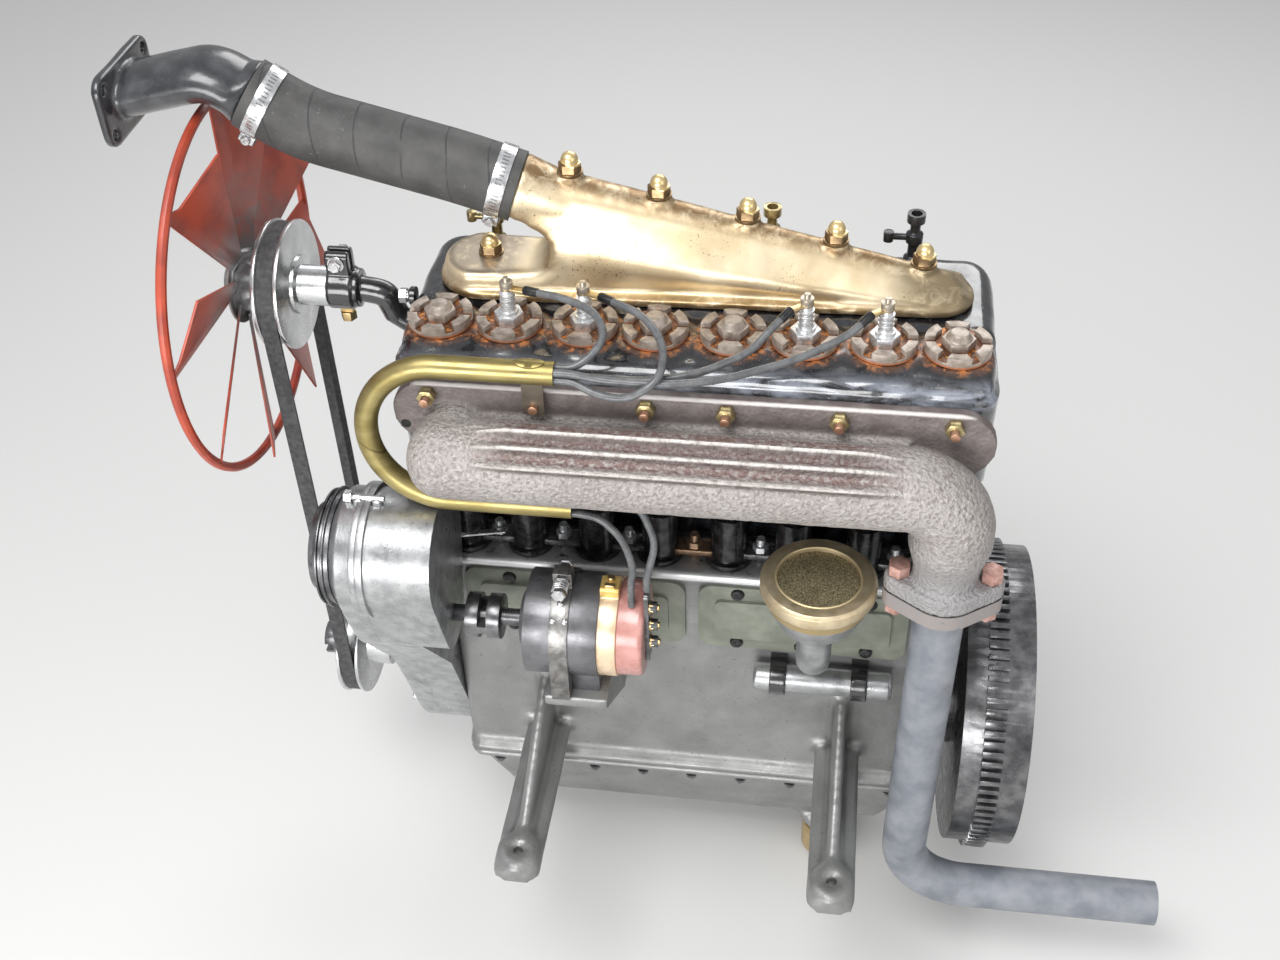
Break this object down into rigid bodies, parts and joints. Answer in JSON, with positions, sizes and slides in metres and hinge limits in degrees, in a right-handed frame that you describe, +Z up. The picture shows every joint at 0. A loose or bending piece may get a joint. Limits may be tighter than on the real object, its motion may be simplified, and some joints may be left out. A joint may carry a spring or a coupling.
{
  "type": "car engine",
  "caption": "Vintage side-valve car engine with a belt-driven ringed fan, brass water outlet, hose, cast exhaust manifold and pipe, magneto ignition and toothed flywheel.",
  "frame": {"origin": "on the crankshaft axis, midway between the end cylinders, level with the underside of the four bearer feet", "axes": "+X to the rear along the crankshaft, +Y away from the valve side, +Z up"},
  "size_m": [0.973, 0.59, 0.9204],
  "materials": {
    "case_aluminium": "satin, oily",
    "cover_paint": "satin, worn",
    "block_black": "gloss, chipped",
    "cap_steel": "dull, rusty",
    "plug_steel": "satin",
    "tappet_black": "gloss, oily",
    "spring_steel": "satin",
    "bright_aluminium": "satin, cast",
    "machined_aluminium": "machined",
    "dark_steel": "satin",
    "fan_red": "satin, faded",
    "bracket_black": "gloss",
    "brass": "satin, tarnished",
    "tube_brass": "satin",
    "belt_rubber": "matte",
    "hose_rubber": "matte",
    "clip_zinc": "bright",
    "elbow_grey": "semi-gloss",
    "manifold_iron": "sand cast",
    "pipe_grey": "matte",
    "copper_bolt": "satin",
    "lead_rubber": "satin",
    "magneto_dark": "satin",
    "magneto_red": "satin",
    "gauze_bronze": "woven"
  },
  "bodies": {
    "root": {"crankcase": "case_aluminium", "sump": "case_aluminium", "strainer_cap": "brass", "crankcase_covers": "cover_paint", "oil_rail": "bright_aluminium", "oil_rail_clamps": "bracket_black", "cylinder_block": "block_black", "valve_caps": "cap_steel", "cap_plugs": "cap_steel", "spark_plugs": "plug_steel", "tappet_guides": "tappet_black", "tappet_clamps": "spring_steel", "valve_stems": "spring_steel", "valve_springs": "spring_steel", "timing_case": "bright_aluminium", "timing_cover": "bright_aluminium", "timing_end_cap": "dark_steel", "fan_spindle": "dark_steel", "fan_bracket": "bracket_black", "grease_plug": "brass", "fan_belt": "belt_rubber", "water_outlet": "brass", "dome_nuts": "brass", "radiator_hose": "hose_rubber", "hose_clips": "clip_zinc", "radiator_elbow": "elbow_grey", "exhaust_manifold": "manifold_iron", "manifold_nuts": "brass", "exhaust_pipe": "pipe_grey", "exhaust_flange_bolts": "copper_bolt", "lead_conduit": "tube_brass", "lead_grommets": "lead_rubber", "plug_leads": "lead_rubber", "lead_terminals": "brass", "magneto": "magneto_dark", "magneto_ring": "brass", "magneto_cap": "magneto_red", "magneto_terminals": "dark_steel", "magneto_strap": "plug_steel", "magneto_platform": "case_aluminium", "magneto_leads": "lead_rubber", "breather_bowl": "case_aluminium", "breather_ring": "brass", "breather_gauze": "gauze_bronze", "priming_taps": "brass", "inlet_pipe": "bright_aluminium", "carburettor": "brass", "water_pump": "bright_aluminium", "pump_pipe": "bright_aluminium"},
    "fan_rotor": {"fan": "fan_red", "fan_pulley": "machined_aluminium"},
    "crank_rotor": {"crankshaft": "dark_steel", "crank_pulley": "machined_aluminium", "flywheel": "dark_steel"},
    "magneto_shaft": {"magneto_drive": "dark_steel"}
  },
  "joints": [
    {"name": "crankshaft_spin", "type": "hinge", "parent": "root", "child": "crank_rotor", "pos_m": [0, 0, 0], "axis": [1, 0, 0], "continuous": true},
    {"name": "fan_spin", "type": "hinge", "parent": "root", "child": "fan_rotor", "pos_m": [-0.4246, 0, 0.4745], "axis": [1, 0, 0], "continuous": true},
    {"name": "magneto_spin", "type": "hinge", "parent": "root", "child": "magneto_shaft", "pos_m": [-0.18, -0.165, 0.2315], "axis": [1, 0, 0], "continuous": true}
  ],
  "couplings": [
    {"joint": "fan_spin", "follows": "crankshaft_spin", "ratio": 1},
    {"joint": "magneto_spin", "follows": "crankshaft_spin", "ratio": 1}
  ]
}
